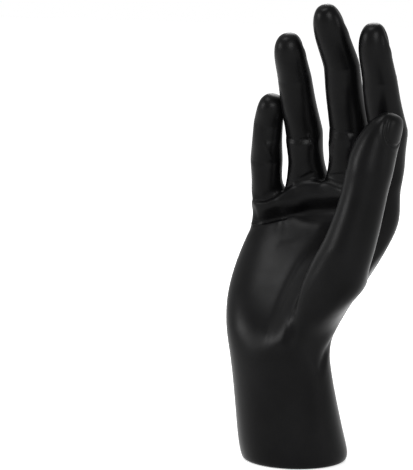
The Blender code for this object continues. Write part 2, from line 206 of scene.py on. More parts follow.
# %% Foot and forearm
FOOT_HALF_WIDTH = 27.0
FOOT_HALF_DEPTH = 25.0
FOOT_EDGE_RADIUS = 3.4
WRIST_HEIGHT = 50.0
WRIST_HALF_WIDTH = 25.4
WRIST_HALF_DEPTH = 18.4
WRIST_TO_RADIAL = -5.0
WRIST_TO_PALM = 6.0
FOREARM_HEIGHTS = (12.0, 28.0, WRIST_HEIGHT)
COLUMNS = 9
AROUND = 2 * COLUMNS + 2


def oval(centre, half_width, half_depth):
    """A level section in the palm's order: front from the little finger's side, then back."""
    points = []
    for k in range(AROUND):
        angle = math.pi + (k + 1) * 2 * math.pi / AROUND
        x, y = math.cos(angle) * half_width, math.sin(angle) * half_depth
        points.append(centre + Vector((x, y, 0)))
    return points


def forearm_section(height):
    """The forearm at a height: it eases from the foot's size to the wrist's."""
    share = height / WRIST_HEIGHT
    ease = share * share * (3 - 2 * share)
    centre = Vector((WRIST_TO_RADIAL * share, -WRIST_TO_PALM * share, height))
    half_width = FOOT_HALF_WIDTH + (WRIST_HALF_WIDTH - FOOT_HALF_WIDTH) * ease
    half_depth = FOOT_HALF_DEPTH + (WRIST_HALF_DEPTH - FOOT_HALF_DEPTH) * ease
    return oval(centre, half_width, half_depth)


bpy.ops.object.select_all(action="DESELECT")
band_height = FOREARM_HEIGHTS[0] - FOOT_EDGE_RADIUS
bpy.ops.mesh.primitive_cylinder_add(
    vertices=AROUND,
    radius=FOOT_HALF_WIDTH * MM,
    depth=band_height * MM,
    end_fill_type="NGON",
    location=(0, 0, (FOOT_EDGE_RADIUS + band_height / 2) * MM),
)
hand = bpy.context.object
hand.name = "hand_casting"
bpy.ops.object.transform_apply(location=True, rotation=True, scale=True)

edit_alone(hand)
pick_faces(hand, [UP * FOOT_EDGE_RADIUS])
low_ring = oval(UP * FOOT_EDGE_RADIUS, FOOT_HALF_WIDTH, FOOT_HALF_WIDTH)
foot_ring = oval(UP * FOOT_EDGE_RADIUS, FOOT_HALF_WIDTH, FOOT_HALF_DEPTH)
place_corners(hand, low_ring, foot_ring)
for share in (0.955, 0.84, 0.55):
    narrower = oval(Vector(), FOOT_HALF_WIDTH * share, FOOT_HALF_DEPTH * share)
    foot_ring = grow(hand, foot_ring, narrower)

pick_faces(hand, [UP * FOREARM_HEIGHTS[0]])
high_ring = oval(UP * FOREARM_HEIGHTS[0], FOOT_HALF_WIDTH, FOOT_HALF_WIDTH)
ring = forearm_section(FOREARM_HEIGHTS[0])
place_corners(hand, high_ring, ring)
for height in FOREARM_HEIGHTS[1:]:
    ring = grow(hand, ring, forearm_section(height))
print("forearm:", len(hand.data.vertices), "corners before leaving edit mode")

# %% [markdown]
# ## Palm
# The palm could be carved from a block, but a palm is a fan: four rays run from the wrist to
# the knuckles, and the flesh lies in front of and behind them. Each section puts nine columns
# across those rays, one on each finger and one in each gap, so that every finger later finds
# its own corners waiting. The numbers swell the heel under the little finger and the ball of
# the thumb, and sink the middle of the palm.

# %% Palm sections
CARPAL_PITCH = 9.5
PALM_STATIONS = (
    # share of the way from wrist to knuckle, thickness in front of and behind the bones,
    # squareness to the bones, hollow in the middle, swell of the heel below the little finger
    # and of the ball of the thumb, spread of that ball over the palm, reach of the edges at the
    # little finger and the index finger
    (0.17, 22.0, 13.5, 0.45, 1.0, 5.0, 7.3, 4.4, (0.5, 0.2)),
    (0.45, 19.0, 12.5, 0.85, 4.0, 6.5, 6.5, 9.0, (0.46, 0.2)),
    (0.74, 15.0, 12.0, 1.0, 4.5, 3.5, 2.0, 8.0, (0.42, 0.34)),
    (1.0, 11.5, 11.5, 1.0, 2.5, 0.0, 0.0, 0.0, (0.32, 0.33)),
)
FINGER_BASE_STATIONS = (
    # distance below the web, thickness in front of and behind the bones, hollow, how much lower
    # the back lies, reach of the edges
    (11.5, 10.0, 11.0, 1.5, 0.0, (0.3, 0.31)),
    (3.5, 12.8, 10.3, 0.0, 3.5, (0.22, 0.29)),
)
WEB_REACH = (0.3, 0.32)
WEB_BACK_DROP = 5.0
EDGE_ROUNDING = (0.56, 0.86, 0.98, 1.0, 1.0, 1.0, 0.98, 0.88, 0.58)
HEEL_WAY = Vector((-1, -0.25, 0)).normalized()
HEEL_SHARES = ((0, 1.0), (1, 0.5), (-1, 1.0), (-2, 0.4))
BALL_SHARES = ((4, 0.1), (5, 0.4), (6, 0.8), (7, 1.0), (8, 0.9))
SPREAD_SHARES = ((5, 0.5), (6, 0.8), (7, 1.0), (8, 0.7))


def column_centres(rays, reach):
    """Nine columns across the hand: the rays, the gaps between them and the two edges."""
    little, ring_ray, middle, index = rays
    return [
        little + (little - ring_ray) * reach[0],
        little,
        little.lerp(ring_ray, 0.5),
        ring_ray,
        ring_ray.lerp(middle, 0.5),
        middle,
        middle.lerp(index, 0.5),
        index,
        index + (index - middle) * reach[1],
    ]


def palm_section(centres, ways, square, front, back, hollow=0.0, drop=0.0):
    """The 20 corners of a palm section round nine column centres; its back may lie lower."""
    across = (centres[-1] - centres[0]).normalized()
    fronts, backs = [], []
    for k, centre in enumerate(centres):
        normal = across.cross(ways[min(k // 2, 3)]).normalized()
        normal = Vector((0, -1, 0)).lerp(normal, square).normalized()
        dip = hollow * max(0.0, 1 - abs(k - 4) / 3)
        fronts.append(centre + normal * (front * EDGE_ROUNDING[k] - dip))
        backs.append(centre - normal * back * EDGE_ROUNDING[k] - UP * drop)
    radial_side = centres[-1] + across * 3.0
    ulnar_side = centres[0] - across * 3.0
    return fronts + [radial_side] + backs[::-1] + [ulnar_side]


print(len(PALM_STATIONS) + len(FINGER_BASE_STATIONS) + 1, "sections between wrist and fingers")

# %% Grow the palm from the wrist to the webs
fingers = list(FINGERS.values())
joints_of = [finger_joints(f) for f in fingers]
wrist = Vector((WRIST_TO_RADIAL, -WRIST_TO_PALM, WRIST_HEIGHT))
starts = [wrist + Vector(((k - 1.5) * CARPAL_PITCH, 0, 0)) for k in range(4)]
hand_bones = [(j[0] - s).normalized() for j, s in zip(joints_of, starts)]
finger_ways = [(j[1] - j[0]).normalized() for j in joints_of]
bends = [(m + w).normalized() for m, w in zip(hand_bones, finger_ways)]

palm_rings = []
for share, front, back, square, hollow, heel, ball, spread, reach in PALM_STATIONS:
    rays = [s.lerp(j[0], share) for s, j in zip(starts, joints_of)]
    ways = bends if share == 1.0 else hand_bones
    section = palm_section(column_centres(rays, reach), ways, square, front, back, hollow)
    for k, part in HEEL_SHARES:
        section[k] = section[k] + HEEL_WAY * heel * part
    for k, part in BALL_SHARES:
        section[k] = section[k] + Vector((0, -ball * part, 0))
    for k, part in SPREAD_SHARES:
        section[k] = section[k] + Vector((-spread * part, 0, 0))
    ring = grow(hand, ring, section)
    palm_rings.append(ring)


def crease_points(below_web):
    """Where the four fingers are, a little below their webs."""
    return [
        j[0] + w * (f["web"] - below_web)
        for j, w, f in zip(joints_of, finger_ways, fingers)
    ]


for below_web, front, back, hollow, drop, reach in FINGER_BASE_STATIONS:
    centres = column_centres(crease_points(below_web), reach)
    ring = grow(hand, ring, palm_section(centres, finger_ways, 1.0, front, back, hollow, drop))
half = sum(f["width"] for f in fingers) / 8
centres = column_centres(crease_points(0), WEB_REACH)
web_ring = palm_section(centres, finger_ways, 1.0, half, half, 0.0, WEB_BACK_DROP)
grow(hand, ring, web_ring)
bpy.ops.mesh.delete(type="ONLY_FACE")
print("palm grown; its top is open")

# %% [markdown]
# ## Webs and fingers
# The palm's open top is now a ring of 20 corners. It could be closed with one face, but four
# fingers have to leave it. So three edges are laid across it from front to back and split in
# the middle: these are the webs. Each finger then has a ring of eight corners, is closed with
# a face, and is extruded bone by bone, a little wider at the joints than between them, as a
# finger is. The last two rings draw in to a rounded tip.

# %% Three webs across the open top
LAST = 2 * COLUMNS
webs = [web_ring[-1]]
for k in range(1, 4):
    front_corner, back_corner = web_ring[2 * k], web_ring[LAST - 2 * k]
    pick_corners(hand, [front_corner, back_corner])
    bpy.ops.mesh.edge_face_add()
    bpy.ops.mesh.subdivide(number_cuts=1)
    webs.append(front_corner.lerp(back_corner, 0.5))
webs.append(web_ring[COLUMNS])
print("webs at", [[round(v) for v in w] for w in webs[1:4]])

# %% Sections of a digit
RING_SIDES = 8
CAGE_SHRINK = (4 + 2 * math.cos(2 * math.pi / RING_SIDES)) / 6
FINGER_STATIONS = (
    # bone, share of its length, width and depth as shares of the finger's width, shift to the palm
    (0, 0.62, 0.98, 0.98, 0.0),
    (0, 0.76, 0.96, 0.95, 0.01),
    (0, 0.91, 1.0, 0.95, 0.0),
    (1, 0.0, 1.02, 0.97, -0.02),
    (1, 0.14, 1.0, 0.93, -0.01),
    (1, 0.5, 0.94, 0.89, 0.02),
    (1, 0.86, 0.92, 0.84, 0.0),
    (2, 0.0, 0.92, 0.82, -0.02),
    (2, 0.16, 0.9, 0.77, 0.0),
    (2, 0.45, 0.87, 0.73, 0.045),
    (2, 0.72, 0.79, 0.65, 0.03),
    (2, 0.89, 0.58, 0.5, -0.02),
    (2, 0.97, 0.31, 0.26, -0.06),
)


def along(joints, bone, share):
    """A point on a digit's line of bones, and the digit's direction there."""
    start, end = joints[bone], joints[bone + 1]
    here = (end - start).normalized()
    other = here
    if share < 0.25 and bone > 0:
        other = (start - joints[bone - 1]).normalized()
    elif share > 0.75 and bone + 2 < len(joints):
        other = (joints[bone + 2] - end).normalized()
    weight = 0.5 * max(0.0, 1 - min(share, 1 - share) / 0.25)
    return start.lerp(end, share), here.lerp(other, weight).normalized()


def finger_section(finger, joints, station):
    """Eight corners round a finger, from the front corner at the little finger's side."""
    bone, share, width, depth, shift = station
    centre, way = along(joints, bone, share)
    front = palm_way(finger)
    centre = centre + front * shift * finger["width"]
    front = (front - way * front.dot(way)).normalized()
    right = way.cross(front)
    size = finger["width"] / CAGE_SHRINK / 2
    points = []
    for k in range(RING_SIDES):
        angle = math.radians(-135 + k * 360 / RING_SIDES)
        side = right * math.cos(angle) * width * size
        points.append(centre + side - front * math.sin(angle) * depth * size)
    return points


print(len(FINGER_STATIONS), "sections per finger")

# %% Grow the four fingers
for k, finger in enumerate(fingers):
    a = 2 * k
    base = [web_ring[a], web_ring[a + 1], web_ring[a + 2], webs[k + 1]]
    base += [web_ring[LAST - a - 2], web_ring[LAST - a - 1], web_ring[LAST - a], webs[k]]
    pick_corners(hand, base)
    bpy.ops.mesh.edge_face_add()
    for station in FINGER_STATIONS:
        base = grow(hand, base, finger_section(finger, joints_of[k], station))
print("fingers grown")

# %% [markdown]
# ## Thumb
# The thumb doesn't leave the top of the palm but its side, low down, and its nail looks away
# from the fingers. Four faces at the palm's thumb edge are dissolved into one with eight
# corners, which is the size of the ball of the thumb, and the thumb is extruded from there.
# The first rings are slanted, because the web towards the index finger is higher than the
# outer side.

# %% Grow the thumb
THUMB_COLUMNS = (7, 8, 9)
THUMB_STATIONS = (
    # bone, share of its length, width, depth, slant of the ring along the bone, shift to the pad,
    # extra reach of the web side
    (0, 0.6, 25.0, 29.0, 10.0, -1.0, 3.0),
    (0, 0.85, 24.0, 26.5, 5.0, 0.0, -1.2),
    (1, 0.0, 23.5, 24.5, 1.5, 0.0, -0.8),
    (1, 0.3, 22.0, 23.0, 0.0, -0.5, 0.0),
    (1, 0.62, 20.5, 21.5, 0.0, -0.7, 0.0),
    (1, 0.88, 20.5, 21.0, 0.0, -0.2, 0.0),
    (2, 0.0, 21.5, 21.3, 0.0, 0.2, 0.0),
    (2, 0.18, 21.5, 21.5, 0.0, 1.1, 0.0),
    (2, 0.45, 20.5, 19.0, 0.0, 1.3, 0.0),
    (2, 0.72, 18.5, 15.0, 0.0, 0.7, 0.0),
    (2, 0.89, 14.0, 10.5, 0.0, -0.6, 0.0),
    (2, 0.97, 8.0, 5.5, 0.0, -1.0, 0.0),
)
nail_turn = math.radians(THUMB_NAIL_TURN)
thumb_nail_way = Vector((math.cos(nail_turn), math.sin(nail_turn), 0))


def thumb_section(station):
    """Eight corners round the thumb, from its outer side by way of its nail side."""
    bone, share, width, depth, slant, shift, reach = station
    centre, way = along(THUMB_JOINTS, bone, share)
    back = (thumb_nail_way - way * thumb_nail_way.dot(way)).normalized()
    web = way.cross(back)
    points = []
    for k in range(RING_SIDES):
        angle = math.radians(-90 + k * 360 / RING_SIDES)
        out = web * math.sin(angle) * width / 2 / CAGE_SHRINK
        out = out + web * max(0, math.sin(angle)) * reach
        side = back * math.cos(angle) * depth / 2 / CAGE_SHRINK
        tilt = way * slant * math.sin(angle)
        points.append(centre + out + side + tilt - back * shift)
    return points


low, mid, high = palm_rings[:3]
a, b, c = THUMB_COLUMNS
quads = []
for lower, upper in ((low, mid), (mid, high)):
    for left, right in ((a, b), (b, c)):
        corners = (lower[left], lower[right], upper[left], upper[right])
        quads.append(sum(corners, Vector()) / 4)
pick_faces(hand, quads)
bpy.ops.mesh.dissolve_faces()
base = [low[b], low[c], mid[c], high[c], high[b], high[a], mid[a], low[a]]
for station in THUMB_STATIONS:
    base = grow(hand, base, thumb_section(station))
bpy.ops.mesh.select_all(action="SELECT")
bpy.ops.mesh.normals_make_consistent(inside=False)
bpy.ops.object.mode_set(mode="OBJECT")
print("cage:", len(hand.data.vertices), "corners,", len(hand.data.polygons), "faces")

# %% [markdown]
# ## Rounding
# Subdivision turns the cage into skin. Three levels give points about a millimetre apart,
# close enough for pads and hollows. Creases and nails need sharper lines, so the faces along
# them are divided again further on. Dividing everything would cost four times the triangles
# and show nothing new. The valley beside the ball of the thumb comes out sharper than a hand's,
# so it is rubbed smooth along its floor and its crest, in passes that grow narrower.

# %% Round the cage
rounding = hand.modifiers.new("rounding", "SUBSURF")
rounding.levels = 3
rounding.render_levels = 3
bpy.ops.object.modifier_apply(modifier=rounding.name)
bpy.ops.object.shade_smooth()
print("skin:", len(hand.data.polygons), "faces")

# %% Rub the valley beside the ball of the thumb
EASED_LINES = (
    ((3, -19, 70), (4, -17, 76), (7, -9, 88), (12, -6, 98)),
    ((11, -23, 69), (15, -23, 74), (22, -24, 83), (31, -24.5, 96)),
)
EASED_REACHES = (10.0, 8.0, 6.0, 4.5)
EASED_TIMES = 14
EASED_STEPS = 5
rubbed = [
    Vector(start).lerp(Vector(end), k / EASED_STEPS)
    for line in EASED_LINES
    for start, end in zip(line, line[1:])
    for k in range(EASED_STEPS + 1)
]
for reach in EASED_REACHES:
    edit_alone(hand)
    mesh = bmesh.from_edit_mesh(hand.data)
    for corner in mesh.verts:
        if min((corner.co / MM - spot).length for spot in rubbed) < reach:
            corner.select_set(True)
    mesh.select_flush_mode()
    bmesh.update_edit_mesh(hand.data)
    bpy.ops.mesh.vertices_smooth(factor=0.5, repeat=EASED_TIMES)
    bpy.ops.object.mode_set(mode="OBJECT")
print("valley rubbed smooth along", len(EASED_LINES), "lines")

# %% [markdown]
# ## Folds, pads and tendons
# Now the skin is worked as clay is, with soft strokes that raise or lower it. A stroke is a
# path, two half-widths and a rise. Paths are drawn as one side of the hand shows them, and are
# thrown onto the skin by a ray, so they lie on it wherever it curves. Every stroke is measured
# on the untouched skin and all are added at the end, so their order doesn't matter. Sculpt
# brushes would do the same by hand, but numbers can be corrected against a photograph.

# %% A skin that takes strokes
SIDES = {
    # the way each side of the hand faces
    "palm": (0, -1, 0),
    "back": (0, 1, 0),
    "thumb": (1, 0, 0),
    "edge": (-1, 0, 0),
}
FAR_OUT = 200.0


NAIL_LIFT = 0.25
NAIL_GROOVE = 0.45
NAIL_WALL = 0.18
NAIL_FLATTENING = 0.15


class Skin:
    """The fine mesh as lists of points and normals, in millimetres."""

    def __init__(self, piece):
        self.mesh = piece.data
        count = len(self.mesh.vertices)
        flat = np.empty(count * 3)
        self.mesh.vertices.foreach_get("co", flat)
        self.points = flat.reshape(count, 3) / MM
        flat = np.empty(count * 3)
        self.mesh.vertices.foreach_get("normal", flat)
        self.normals = flat.reshape(count, 3)
        self.rise = np.zeros(count)
        faces = [tuple(f.vertices) for f in self.mesh.polygons]
        self.tree = BVHTree.FromPolygons([Vector(p) for p in self.points], faces)

    def cast(self, side, across, z):
        """The point that shows at that height, and at that x, or y where seen from an edge."""
        out = Vector(SIDES[side])
        start = Vector((0, across, z)) if out.x else Vector((across, 0, z))
        return self.tree.ray_cast(start + out * FAR_OUT, -out)[0]

    def trace(self, side, path, step=1.5):
        """The points on the skin under a path that is given as it shows on that side."""
        places = []
        for (x0, z0), (x1, z1) in zip(path, path[1:]):
            steps = max(1, round(math.hypot(x1 - x0, z1 - z0) / step))
            for k in range(steps):
                places.append((x0 + (x1 - x0) * k / steps, z0 + (z1 - z0) * k / steps))
        places.append(path[-1])
        hits = [self.cast(side, x, z) for x, z in places]
        return [h for h in hits if h is not None]

    def facing(self, way, least=-0.1, most=0.4):
        """1 where the skin faces that way, fading to 0 where it turns from it."""
        return np.clip((self.normals @ np.array(way) - least) / (most - least), 0, 1)

    def spot(self, centre, radius, rise, way):
        """A round swelling or hollow."""
        apart = np.linalg.norm(self.points - np.array(centre), axis=1)
        self.rise += rise * np.exp(-((apart / radius) ** 2)) * self.facing(way)

    def stroke(self, path, above, below, rise, way):
        """A soft line through the path's points; its two sides may fall off differently."""
        best = np.full(len(self.points), 1e9)
        place = np.zeros(len(self.points))
        higher = np.zeros(len(self.points))
        for k in range(len(path) - 1):
            start, end = np.array(path[k]), np.array(path[k + 1])
            run = end - start
            share = np.clip((self.points - start) @ run / (run @ run), 0, 1)
            offset = self.points - start - share[:, None] * run
            apart = np.linalg.norm(offset, axis=1)
            near = apart < best
            best[near] = apart[near]
            place[near] = (k + share[near]) / (len(path) - 1)
            higher[near] = offset[near, 2]
        fade = np.clip(np.minimum(place, 1 - place) / 0.2, 0, 1)
        fade = fade * fade * (3 - 2 * fade)
        reach = np.where(higher > 0, above, below)
        line = np.exp(-((best / reach) ** 2)) * fade
        self.rise += rise * line * self.facing(way, 0.05, 0.6)

    def across(self, centre, along_way, front, half_width, rise, offset=0.0, bow=0.0):
        """A fold across one side of a digit; bow bends its ends along the digit."""
        apart = self.points - np.array(centre)
        side = along_way.cross(Vector(front)).normalized()
        sideways = apart @ np.array(side)
        reach = apart @ np.array(along_way) - offset - bow * (sideways / 8) ** 2
        near = np.linalg.norm(apart, axis=1) < 14.0
        fold = np.exp(-((reach / half_width) ** 2)) * near
        self.rise += rise * fold * self.facing(front, 0.3, 0.9)

    def shoulder(self, centre, along_way, front, half, rise, fade=9.0):
        """A joint's fold: above it the skin lies back, below it a pad starts with a soft step."""
        apart = self.points - np.array(centre)
        reach = apart @ np.array(along_way)
        step = np.clip(0.5 - reach / (2 * half), 0, 1)
        step = step * step * (3 - 2 * step)
        below = np.exp(-((np.clip(-half - reach, 0, None) / fade) ** 2))
        near = np.linalg.norm(apart, axis=1) < 2.2 * fade
        self.rise += rise * step * below * near * self.facing(front, 0.2, 0.9)

    def nail(self, centre, along_way, out, half_length, half_width):
        """A plate with a round root and a free tip, and a groove and a wall round it."""
        side = along_way.cross(out)
        offset = self.points - np.array(centre)
        a = offset @ np.array(along_way) / half_length
        b = offset @ np.array(side) / half_width
        apart = np.minimum((np.abs(a) ** 2.4 + np.abs(b) ** 2.4) ** (1 / 2.4), 3)
        plate = 1 / (1 + np.exp((apart - 1) / 0.04))
        open_end = np.clip(1.25 - a, 0, 1)
        groove = np.exp(-(((apart - 1.08) / 0.09) ** 2)) * open_end
        wall = np.exp(-(((apart - 1.32) / 0.17) ** 2)) * np.clip(0.8 - a, 0, 1)
        flat = np.exp(-((b / 0.8) ** 2)) * plate
        lift = NAIL_LIFT * plate - NAIL_GROOVE * groove + NAIL_WALL * wall - NAIL_FLATTENING * flat
        near = np.linalg.norm(offset, axis=1) < 3 * half_length
        self.rise += lift * near * self.facing(out)

    def settle(self):
        """Moves the points and keeps the foot on the floor."""
        moved = self.points + self.normals * self.rise[:, None]
        moved[:, 2] = np.maximum(moved[:, 2], 0)
        self.mesh.vertices.foreach_set("co", (moved * MM).ravel())
        self.mesh.update()


skin = Skin(hand)
print("skin ready:", len(skin.points), "points")

# %% [markdown]
# ## Where the lines run
# The palm has a pad below the fingers, with a hollow under its rim, and the heart line closes
# that hollow. The ball of the thumb meets the palm in one broad valley. A short crease runs
# round the thumb's side of the wrist. The back has four low tendons. All paths are listed
# before the skin is worked, because the faces under the fine ones are divided first.

# %% The strokes
RIM_AT_LITTLE_FINGER = (
    *((-36, 119.2), (-30.4, 120.3), (-23.3, 121)),
    *((-18.4, 123.3), (-13.4, 126.7), (-8.9, 129.3)),
)
RIM_AT_MIDDLE_FINGER = (
    *((-14, 126), (-8.9, 129.3), (-3.8, 130.7), (1.6, 131.5)),
    *((6.8, 132.2), (13, 130.6), (27, 128)),
)
ABOVE_RIM_AT_LITTLE_FINGER = (
    *((-33, 122.6), (-25, 122.9), (-21.4, 124.6)),
    *((-17, 127.4), (-12.6, 130.2), (-8, 132.6)),
)
ABOVE_RIM_AT_MIDDLE_FINGER = (
    *((-10, 132), (-6, 133.4), (-1.2, 134.4), (4, 134.8)),
    *((9.5, 135), (20, 134.6), (28, 133)),
)
STROKES = (
    # side of the hand, half-widths above and below the line, rise of the skin, path
    # the heart line: a lip that fades down the palm, and above it the hollow's deepest place
    ("palm", 0.9, 7.0, 0.8, ((-37, 110.6), (-30, 110), (-25, 110), (-21, 111.2), (-14, 113))),
    ("palm", 3.0, 6.0, 0.4, ((-20, 111.6), (-14, 112.6), (-9.6, 113), (-3, 112), (5, 111.6))),
    ("palm", 8.0, 0.9, -1.7, ((-38, 112.2), (-30, 111.6), (-25, 111.6), (-20, 113), (-14, 114.6))),
    ("palm", 10.0, 4.0, -1.0, ((-12, 115.6), (-4, 116), (4, 116), (14, 115.4), (26, 114))),
    # the pad's rim and the valley between it and the fingers
    ("palm", 1.1, 3.2, 1.2, RIM_AT_LITTLE_FINGER),
    ("palm", 1.8, 4.0, 1.3, RIM_AT_MIDDLE_FINGER),
    ("palm", 3.0, 1.0, -0.9, ABOVE_RIM_AT_LITTLE_FINGER),
    ("palm", 1.8, 1.4, -0.6, ABOVE_RIM_AT_MIDDLE_FINGER),
    # short creases in the palm and at the roots of ring and middle finger
    ("palm", 1.5, 1.5, -0.35, ((-15, 101.2), (-8.6, 102.6), (-2.5, 104.8))),
    ("palm", 0.8, 0.8, -0.4, ((-8, 133), (-5, 134.4), (-2.2, 136.2), (0, 137.1), (2.5, 136.2))),
    ("palm", 0.8, 0.8, -0.4, ((6.5, 136), (8.3, 136.3), (11.8, 136.8), (14.9, 137.2), (20, 137.4))),
    # the wrist: a slanted crease at the thumb's side, the heel of the thumb above it
    ("thumb", 1.5, 1.5, -0.8, ((10, 62), (3, 58.4), (-4, 54.7), (-8.5, 50), (-12, 45))),
    ("thumb", 3.2, 2.2, 0.6, ((6, 66), (0, 63), (-7, 59), (-13, 54))),
    ("edge", 1.8, 1.8, -0.8, ((16, 122), (22, 124), (28, 125), (34, 126))),
    # four tendons behind
    ("back", 2.6, 2.6, 0.7, ((-5, 62), (-13, 84), (-26, 106))),
    ("back", 2.6, 2.6, 0.8, ((-3, 62), (-5, 86), (-8, 112))),
    ("back", 2.6, 2.6, 0.8, ((0, 62), (6, 86), (14, 114))),
    ("back", 2.6, 2.6, 0.7, ((3, 62), (16, 86), (32, 111))),
)
SPOTS = (
    # side of the hand, radius, rise of the skin, place
    ("palm", 15.0, 0.6, (-24, 80)),
    ("palm", 4.0, 1.1, (-7.3, 121.0)),
    ("palm", 13.0, -1.0, (-2, 104)),
    ("back", 9.0, 2.2, (-24, 45)),
    ("back", 5.0, -1.0, (-17, 114)),
    ("back", 5.0, -1.2, (4, 118)),
    ("back", 5.0, -1.2, (24, 118)),
)
FINE = 1.5
traced = [(side, *shape, skin.trace(side, path)) for side, *shape, path in STROKES]
spotted = [(side, size, rise, skin.cast(side, *place)) for side, size, rise, place in SPOTS]
knuckles = [skin.cast("back", j[0].x, j[0].z) for j in joints_of]
print(len(traced), "strokes and", len(spotted), "spots traced")

# %% Places of the nails
NAIL_PLACE = 0.68
NAIL_HALF_LENGTH = 0.24
NAIL_HALF_WIDTH = 0.32
THUMB_NAIL_PLACE = 0.76
THUMB_NAIL_HALF_LENGTH = 6.3
THUMB_NAIL_HALF_WIDTH = 6.2


def nail_frame(joints, place, out, half_length, half_width):
    """Centre, directions and half sizes of a nail on a digit's last bone."""
    centre, way = along(joints, 2, place)
    out = (out - way * out.dot(way)).normalized()
    return centre, way, out, half_length, half_width


nails = []
for finger, joints in zip(fingers, joints_of):
    half_length = finger["bones"][2] * NAIL_HALF_LENGTH
    half_width = finger["width"] * NAIL_HALF_WIDTH
    back_way = -palm_way(finger)
    nails.append(nail_frame(joints, NAIL_PLACE, back_way, half_length, half_width))
thumb_sizes = (THUMB_NAIL_HALF_LENGTH, THUMB_NAIL_HALF_WIDTH)
nails.append(nail_frame(THUMB_JOINTS, THUMB_NAIL_PLACE, thumb_nail_way, *thumb_sizes))
print(len(nails), "nails, the thumb's at", [round(v) for v in nails[-1][0]])

# %% Divide the faces under fine lines and nails
digits = [(j, palm_way(f), f["width"], 1) for f, j in zip(fingers, joints_of)]
digits.append((THUMB_JOINTS, -thumb_nail_way, THUMB_WIDTH, 2))
fine_paths = [path for _, above, below, _, path in traced if min(above, below) < FINE]
fine_points = np.array([p for path in fine_paths for p in path])
# how far from a fine line or a joint the faces are divided; more would pass 200,000 triangles
LINE_REACH = 1.7
JOINT_REACH = 2.5


def divide_near(wanted):
    """Divides each face whose middle the test wants."""
    edit_alone(hand)
    bpy.ops.mesh.select_mode(type="FACE")
    mesh = bmesh.from_edit_mesh(hand.data)
    for face in mesh.faces:
        if wanted(face.calc_center_median() / MM):
            face.select_set(True)
    bmesh.update_edit_mesh(hand.data)
    bpy.ops.mesh.subdivide(number_cuts=1, smoothness=1.0)
    bpy.ops.object.mode_set(mode="OBJECT")


def under_a_line(middle):
    """Whether a place lies on a fine stroke or on a digit's joint."""
    for joints, _, width, first in digits:
        for joint in range(first, 3):
            offset = middle - joints[joint]
            way = (joints[joint + 1] - joints[joint - 1]).normalized()
            if offset.length < width * 0.75 and abs(offset.dot(way)) < JOINT_REACH:
                return True
    return np.abs(fine_points - np.array(middle)).max(axis=1).min() < LINE_REACH


def under_a_nail(middle, chosen=nails):
    """Whether a place lies on one of these nails or on the wall round it."""
    for centre, way, out, half_length, half_width in chosen:
        offset = middle - centre
        reach = abs(offset.dot(way)) < half_length * 1.7
        side = abs(offset.dot(way.cross(out))) < half_width * 1.4
        if reach and side and offset.dot(out) > 0:
            return True
    return False


divide_near(lambda middle: under_a_line(middle) or under_a_nail(middle))
divide_near(lambda middle: under_a_nail(middle, nails[-1:]))
skin = Skin(hand)
triangles = sum(len(f.vertices) - 2 for f in hand.data.polygons)
print("finer skin:", triangles, "triangles")

# %% Work the palm and the back
for side, above, below, rise, path in traced:
    skin.stroke(path, above, below, rise, SIDES[side])
for side, radius, rise, centre in spotted:
    skin.spot(centre, radius, rise, SIDES[side])
print("palm and back:", round(skin.rise.min(), 2), "to", round(skin.rise.max(), 2), "mm")

# %% [markdown]
# ## Joints, pads and nails
# A finger joint shows on the palm side as a soft step, where the pad below it starts, and on
# the back as three fine wrinkles over a low swelling. Each nail is a thin plate: its root
# and sides sit in a groove with a raised wall, and its tip is free. They could be pieces of
# their own, but the real ones are cast with the finger, so they are pressed into its skin.

# %% Work the digits and the nails
KNUCKLE_RADIUS = 7.0
KNUCKLE_RISE = 1.5
WRINKLES = (-2.2, 0.0, 2.2)
WRINKLE_DEPTH = 0.18
WRINKLE_WIDTH = 0.55
WRINKLE_BOW = 0.5
FOLD_LINE_WIDTH = 0.9
FOLD_LINE_SHARE = 0.35
FOLD_LINE_BOW = -0.6
SWELLING = 0.5
FOLDS = (
    # for each digit: (offset from the joint, half height, rise) of its folds, root to tip
    ((-1.0, 1.6, 0.25), (-0.5, 1.4, 0.12)),
    ((-1.5, 1.5, 0.75), (-0.5, 1.6, 0.15)),
    ((-0.8, 2.4, 0.7), (-0.5, 1.8, 0.15)),
    ((-1.0, 2.0, 0.5), (-0.5, 1.8, 0.15)),
    ((-1.0, 2.0, 0.4),),
)

for centre in knuckles:
    skin.spot(centre, KNUCKLE_RADIUS, KNUCKLE_RISE, SIDES["back"])
for (joints, front, width, first), folds in zip(digits, FOLDS):
    for joint, (offset, half, rise) in zip(range(first, 3), folds):
        centre, way = along(joints, joint, 0.0)
        skin.shoulder(centre + way * offset, way, front, half, rise)
        fold = centre + way * offset
        depth = -rise * FOLD_LINE_SHARE
        skin.across(fold, way, front, FOLD_LINE_WIDTH, depth, offset=half, bow=FOLD_LINE_BOW)
        skin.spot(centre - front * width / 2, width * 0.35, SWELLING, -front)
        for line in WRINKLES if first == 1 else ():
            bow = WRINKLE_BOW if line > 0 else -WRINKLE_BOW
            skin.across(centre, way, -front, WRINKLE_WIDTH, -WRINKLE_DEPTH, line, bow)
    for joint in range(first, 3):
        centre, way = along(joints, joint, 0.45)
        skin.spot(centre + front * width / 2, width * 0.45, SWELLING, front)
for nail in nails:
    skin.nail(*nail)
skin.settle()
print("strokes reach", round(skin.rise.min(), 2), "to", round(skin.rise.max(), 2), "mm")

# %% [markdown]
# ## Satin black resin
# The casting is black all over, but it isn't one flat colour: the release from the mould
# leaves a faint grain, the polish is uneven in soft clouds, folds hold a little more dullness,
# and finer clouds, as from handling, vary it once more. Each of these is one small pattern on
# Object
# coordinates, or an attribute that was written while the skin was worked.

# %% Write how much each point was raised or sunk
worked = hand.data.attributes.new("worked", "FLOAT", "POINT")
worked.data.foreach_set("value", skin.rise.astype(np.float32))
print("attribute", worked.name, "written")

